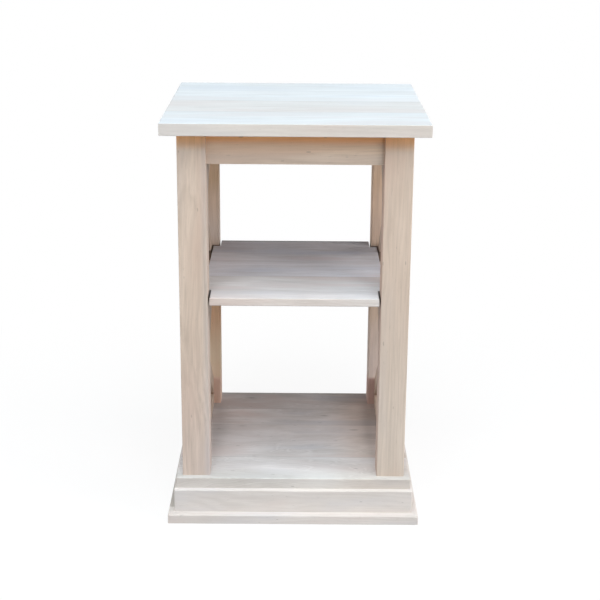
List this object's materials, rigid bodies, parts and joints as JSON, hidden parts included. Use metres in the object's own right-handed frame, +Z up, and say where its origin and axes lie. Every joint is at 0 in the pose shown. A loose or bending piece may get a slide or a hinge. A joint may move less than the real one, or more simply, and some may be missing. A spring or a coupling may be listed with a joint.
{
  "type": "end table with shelf",
  "caption": "Square end table in pale unfinished wood, with straight legs, a middle shelf, crossed side braces and a stepped base.",
  "frame": {"origin": "on the floor, under the middle of the table", "axes": "+X to the right, +Y to the rear, +Z up; the front faces -Y"},
  "size_m": [0.406, 0.421, 0.65],
  "materials": {
    "top_wood": "unfinished pale hardwood, sanded",
    "frame_wood": "unfinished pale hardwood, sanded",
    "brace_wood": "unfinished pale hardwood, sanded",
    "shelf_wood": "unfinished pale hardwood, sanded",
    "base_wood": "unfinished pale hardwood, sanded",
    "dowel_wood": "plain beech",
    "steel": "bright zinc-plated"
  },
  "bodies": {
    "root": {"apron_front": "frame_wood", "apron_left": "frame_wood", "apron_rear": "frame_wood", "apron_right": "frame_wood", "brace_dowels": "dowel_wood", "brace_lower_left_falling": "brace_wood", "brace_lower_left_rising": "brace_wood", "brace_lower_right_falling": "brace_wood", "brace_lower_right_rising": "brace_wood", "brace_upper_left_falling": "brace_wood", "brace_upper_left_rising": "brace_wood", "brace_upper_right_falling": "brace_wood", "brace_upper_right_rising": "brace_wood", "cleat_screws": "steel", "corner_block_front_left": "frame_wood", "corner_block_front_right": "frame_wood", "corner_block_rear_left": "frame_wood", "corner_block_rear_right": "frame_wood", "leg_front_left": "frame_wood", "leg_front_right": "frame_wood", "leg_rear_left": "frame_wood", "leg_rear_right": "frame_wood", "leg_screws": "steel", "lower_panel_board_1": "base_wood", "lower_panel_board_2": "base_wood", "lower_panel_board_3": "base_wood", "lower_panel_board_4": "base_wood", "plinth_front": "base_wood", "plinth_left": "base_wood", "plinth_rear": "base_wood", "plinth_right": "base_wood", "plinth_screws": "steel", "rail_dowels": "dowel_wood", "runner_screws": "steel", "shelf_board_1": "shelf_wood", "shelf_board_2": "shelf_wood", "shelf_board_3": "shelf_wood", "shelf_runner_left": "shelf_wood", "shelf_runner_right": "shelf_wood", "shelf_screws": "steel", "side_rail_lower_left": "brace_wood", "side_rail_lower_right": "brace_wood", "side_rail_middle_left": "brace_wood", "side_rail_middle_right": "brace_wood", "skirt_cleat_front": "base_wood", "skirt_cleat_left": "base_wood", "skirt_cleat_rear": "base_wood", "skirt_cleat_right": "base_wood", "skirt_front": "base_wood", "skirt_left": "base_wood", "skirt_rear": "base_wood", "skirt_right": "base_wood", "tabletop_stave_1": "top_wood", "tabletop_stave_2": "top_wood", "tabletop_stave_3": "top_wood", "tabletop_stave_4": "top_wood", "top_screws": "steel"}
  },
  "joints": []
}
